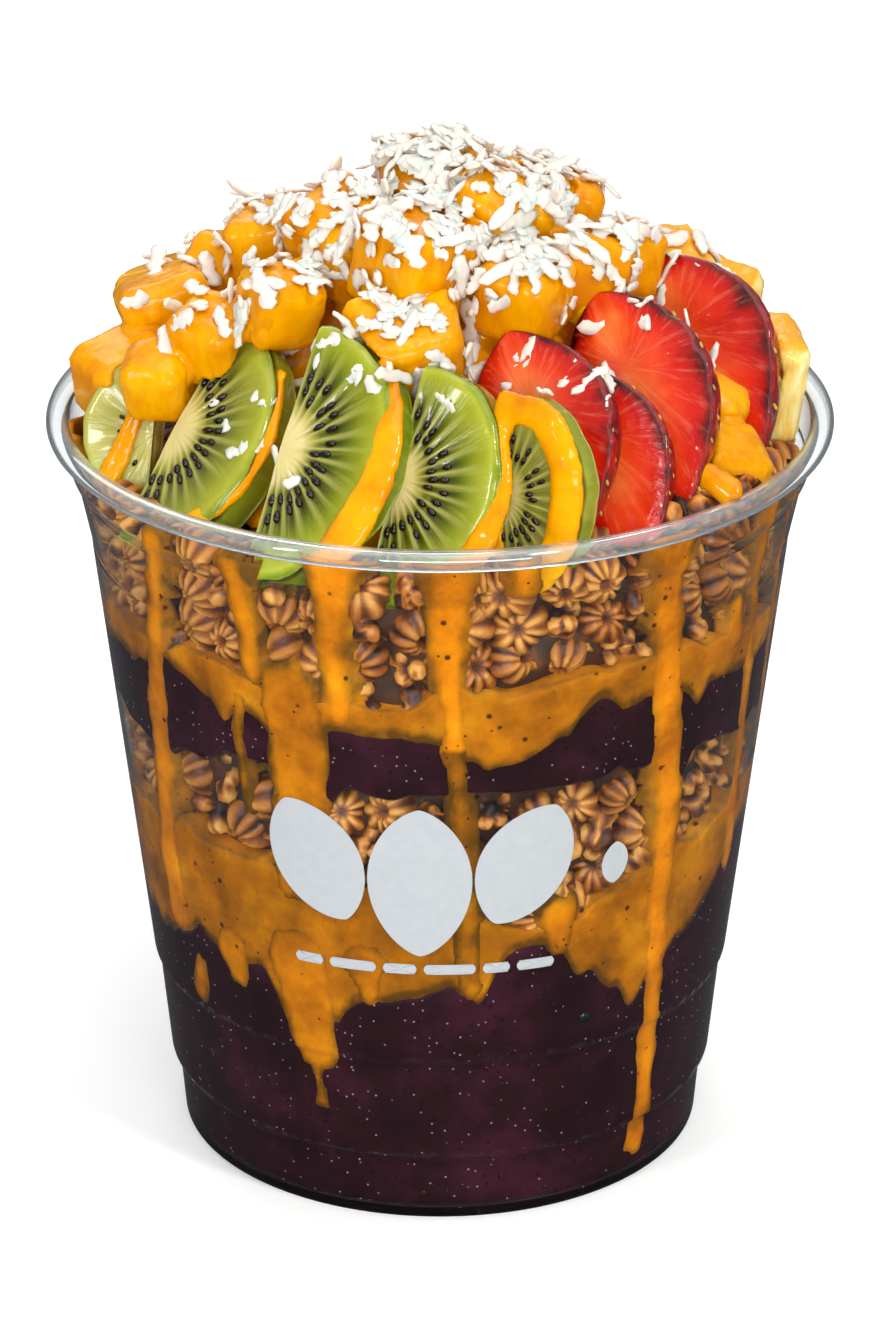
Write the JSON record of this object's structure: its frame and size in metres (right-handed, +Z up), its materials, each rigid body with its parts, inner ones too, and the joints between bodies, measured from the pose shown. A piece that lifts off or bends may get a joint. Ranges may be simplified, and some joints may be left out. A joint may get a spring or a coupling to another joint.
{
  "type": "acai bowl",
  "caption": "Clear takeaway cup filled with layers of acai, mango sauce and granola, heaped with cut mango, kiwi, strawberry and pineapple.",
  "frame": {"origin": "centre of the cup's foot ring, on the surface it stands on", "axes": "+Z up along the cup's axis, -Y towards the front where the kiwi and strawberry slices are, +X to the right"},
  "size_m": [0.117, 0.117, 0.1551],
  "materials": {
    "clear_pet": "thin clear PET, glossy",
    "acai": "dense frozen acai puree, moist, with fine pale specks",
    "mango_sauce": "thick mango and passion fruit sauce, wet, with small black specks",
    "granola": "toasted granola clusters, dry and rough",
    "fruit_heap": "cut fruit under mango sauce",
    "mango": "ripe mango flesh, wet",
    "pineapple": "pineapple flesh, fibrous and wet",
    "kiwi": "kiwi flesh with pale core and black seeds, wet",
    "strawberry": "strawberry flesh with seeded skin, wet"
  },
  "bodies": {
    "root": {"acai_base": "acai", "acai_middle": "acai", "cup": "clear_pet", "fruit_heap": "fruit_heap", "granola_lower": "granola", "granola_upper": "granola", "kiwi_slice_0": "kiwi", "kiwi_slice_1": "kiwi", "kiwi_slice_2": "kiwi", "kiwi_slice_3": "kiwi", "kiwi_slice_4": "kiwi", "kiwi_slice_5": "kiwi", "kiwi_slice_6": "kiwi", "kiwi_slice_7": "kiwi", "mango_01": "mango", "mango_02": "mango", "mango_03": "mango", "mango_04": "mango", "mango_05": "mango", "mango_06": "mango", "mango_07": "mango", "mango_08": "mango", "mango_09": "mango", "mango_10": "mango", "mango_11": "mango", "mango_12": "mango", "mango_13": "mango", "mango_14": "mango", "mango_15": "mango", "mango_16": "mango", "mango_17": "mango", "mango_18": "mango", "mango_19": "mango", "mango_20": "mango", "mango_21": "mango", "mango_22": "mango", "mango_23": "mango", "mango_sauce_lower": "mango_sauce", "mango_sauce_upper": "mango_sauce", "pineapple_1": "pineapple", "pineapple_2": "pineapple", "pineapple_3": "pineapple", "pineapple_4": "pineapple", "pineapple_5": "pineapple", "strawberry_1": "strawberry", "strawberry_2": "strawberry", "strawberry_3": "strawberry", "strawberry_4": "strawberry", "strawberry_5": "strawberry", "strawberry_6": "strawberry"}
  },
  "joints": []
}
